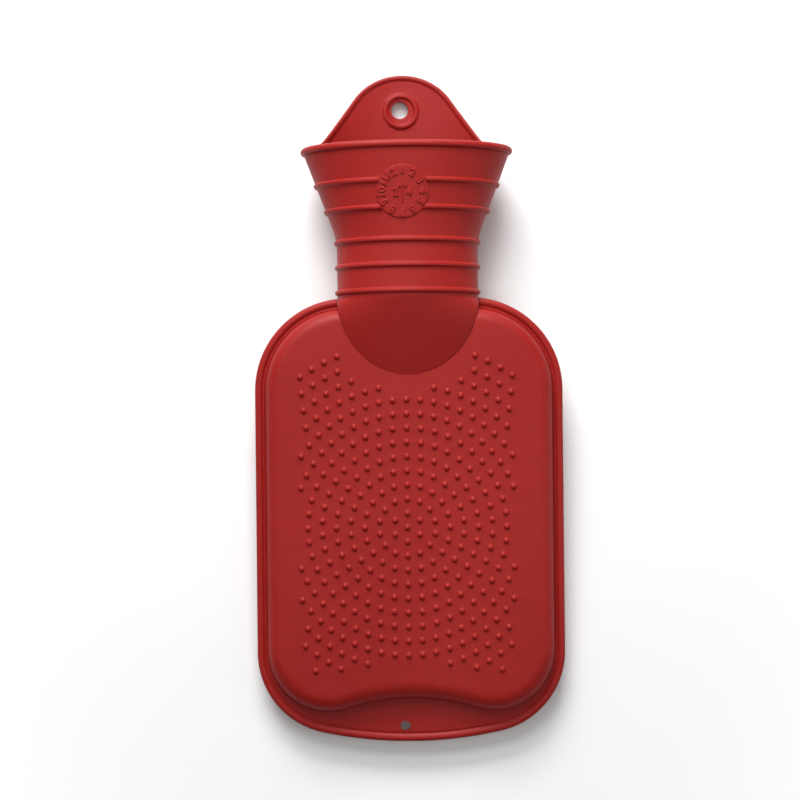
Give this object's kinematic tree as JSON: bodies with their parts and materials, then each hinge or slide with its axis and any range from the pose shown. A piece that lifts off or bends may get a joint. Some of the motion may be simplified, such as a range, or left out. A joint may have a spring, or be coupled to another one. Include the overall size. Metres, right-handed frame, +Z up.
{
  "type": "hot water bottle",
  "caption": "Moulded rubber hot water bottle lying on its back: raised studded panel, ribbed oval funnel neck, hanging tab and screw stopper.",
  "frame": {"origin": "on the supporting surface, under the middle of the bottle's overall length, on the neck's axis seen from above", "axes": "+Y along the bottle towards the neck and the hanging tab, +X across it, +Z up, out of the studded front panel"},
  "size_m": [0.148, 0.3266, 0.0537],
  "materials": {
    "bottle_rubber": "satin, slightly bloomed moulded red rubber",
    "insert_plastic": "plain moulded off-white plastic",
    "stopper_plastic": "semi-gloss moulded dark red plastic",
    "washer_rubber": "matt black rubber"
  },
  "bodies": {
    "bottle": {"bottle": "bottle_rubber", "neck_insert": "insert_plastic"},
    "washer": {"stopper_washer": "washer_rubber"},
    "stopper": {"stopper": "stopper_plastic"}
  },
  "joints": [
    {"name": "stopper_lift", "type": "slide", "parent": "bottle", "child": "washer", "axis": [0, 0.9979, 0.0644], "range_m": [0, 0.015]},
    {"name": "stopper_turn", "type": "hinge", "parent": "washer", "child": "stopper", "pos_m": [0, 0.08148, 0.02435], "axis": [0, 0.9979, 0.0644], "range_deg": [0, 1080]}
  ],
  "couplings": [
    {"joint": "stopper_lift", "follows": "stopper_turn", "m_per_rad": 0.00079577}
  ]
}
